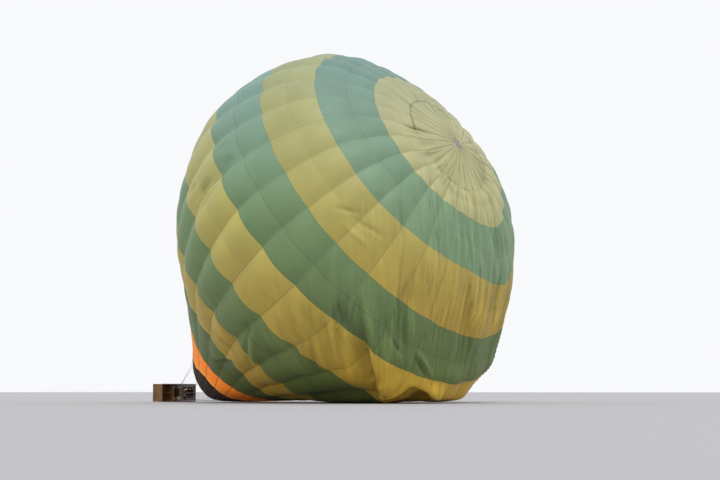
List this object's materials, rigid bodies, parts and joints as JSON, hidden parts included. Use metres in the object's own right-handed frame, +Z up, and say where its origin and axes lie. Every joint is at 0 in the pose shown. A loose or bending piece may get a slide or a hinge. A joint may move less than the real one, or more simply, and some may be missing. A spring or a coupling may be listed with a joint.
{
  "type": "hot air balloon",
  "caption": "Leaning, partly inflated hot air balloon in green and yellow bands, with parachute vent, flying wires, gimballed burner and wicker basket on its side.",
  "frame": {"origin": "centre of the envelope's widest ring, about 15 m above the ground that the lower side rests on", "axes": "+Z up, +X towards the side that the top of the envelope leans to, +Y across, to the left of +X"},
  "size_m": [34.096, 30.1446, 29.413],
  "materials": {
    "pale_yellow_fabric": "hazy pale yellow coated ripstop nylon",
    "pale_green_fabric": "hazy pale green coated ripstop nylon",
    "yellow_fabric": "mustard yellow coated ripstop nylon",
    "green_fabric": "moss green coated ripstop nylon",
    "lit_fabric": "yellow ripstop nylon, orange where the flame lights it",
    "mouth_fabric": "dark brown heat resistant fabric",
    "webbing": "woven load tape",
    "wire": "thin stainless steel wire rope",
    "frame_metal": "brushed stainless tube",
    "burner_steel": "heat tinted stainless steel",
    "upright_sleeve": "black padded sleeve",
    "wicker": "woven willow and cane",
    "plywood": "varnished plywood",
    "runner_wood": "scuffed hardwood",
    "suede": "dark brown suede roll",
    "fuel_metal": "brushed aluminium"
  },
  "bodies": {
    "envelope": {"crown_band": "pale_yellow_fabric", "green_band_1": "pale_green_fabric", "yellow_band_1": "yellow_fabric", "green_band_2": "green_fabric", "yellow_band_2": "yellow_fabric", "green_band_3": "green_fabric", "yellow_band_3": "yellow_fabric", "green_band_4": "green_fabric", "lit_band": "lit_fabric", "mouth_band": "mouth_fabric", "crown_webbing": "webbing", "flying_wires_1": "wire", "flying_wires_2": "wire", "flying_wires_3": "wire", "flying_wires_4": "wire", "load_frame": "frame_metal", "upright_1": "upright_sleeve", "upright_2": "upright_sleeve", "upright_3": "upright_sleeve", "upright_4": "upright_sleeve", "basket_floor": "plywood", "basket_wall_top": "wicker", "basket_wall_ground": "wicker", "basket_end_left": "wicker", "basket_end_right": "wicker", "basket_partition_left": "wicker", "basket_partition_right": "wicker", "basket_divider_left": "wicker", "basket_divider_right": "wicker", "basket_rim": "suede", "basket_runner_1": "runner_wood", "basket_runner_2": "runner_wood", "basket_runner_3": "runner_wood", "fuel_cylinder_1": "fuel_metal", "fuel_cylinder_2": "fuel_metal", "fuel_cylinder_3": "fuel_metal", "fuel_cylinder_4": "fuel_metal"},
    "vent": {"vent_panel": "pale_yellow_fabric"},
    "gimbal": {"gimbal_ring": "frame_metal"},
    "burner": {"burner_block": "burner_steel", "burner_can_1": "burner_steel", "burner_can_2": "burner_steel", "burner_can_3": "burner_steel", "burner_can_4": "burner_steel"}
  },
  "joints": [
    {"name": "vent_slide", "type": "slide", "parent": "envelope", "child": "vent", "axis": [-0.8131, 0, -0.5821], "range_m": [0, 2.2], "stiffness_N_per_m": 120, "springref_m": -4},
    {"name": "gimbal_tilt", "type": "hinge", "parent": "envelope", "child": "gimbal", "pos_m": [-19.55, 0, -14.0225], "axis": [0, 1, 0], "range_deg": [-20, 20]},
    {"name": "burner_tilt", "type": "hinge", "parent": "gimbal", "child": "burner", "pos_m": [-19.55, 0, -14.0225], "axis": [0, 0, 1], "range_deg": [-20, 20]}
  ]
}
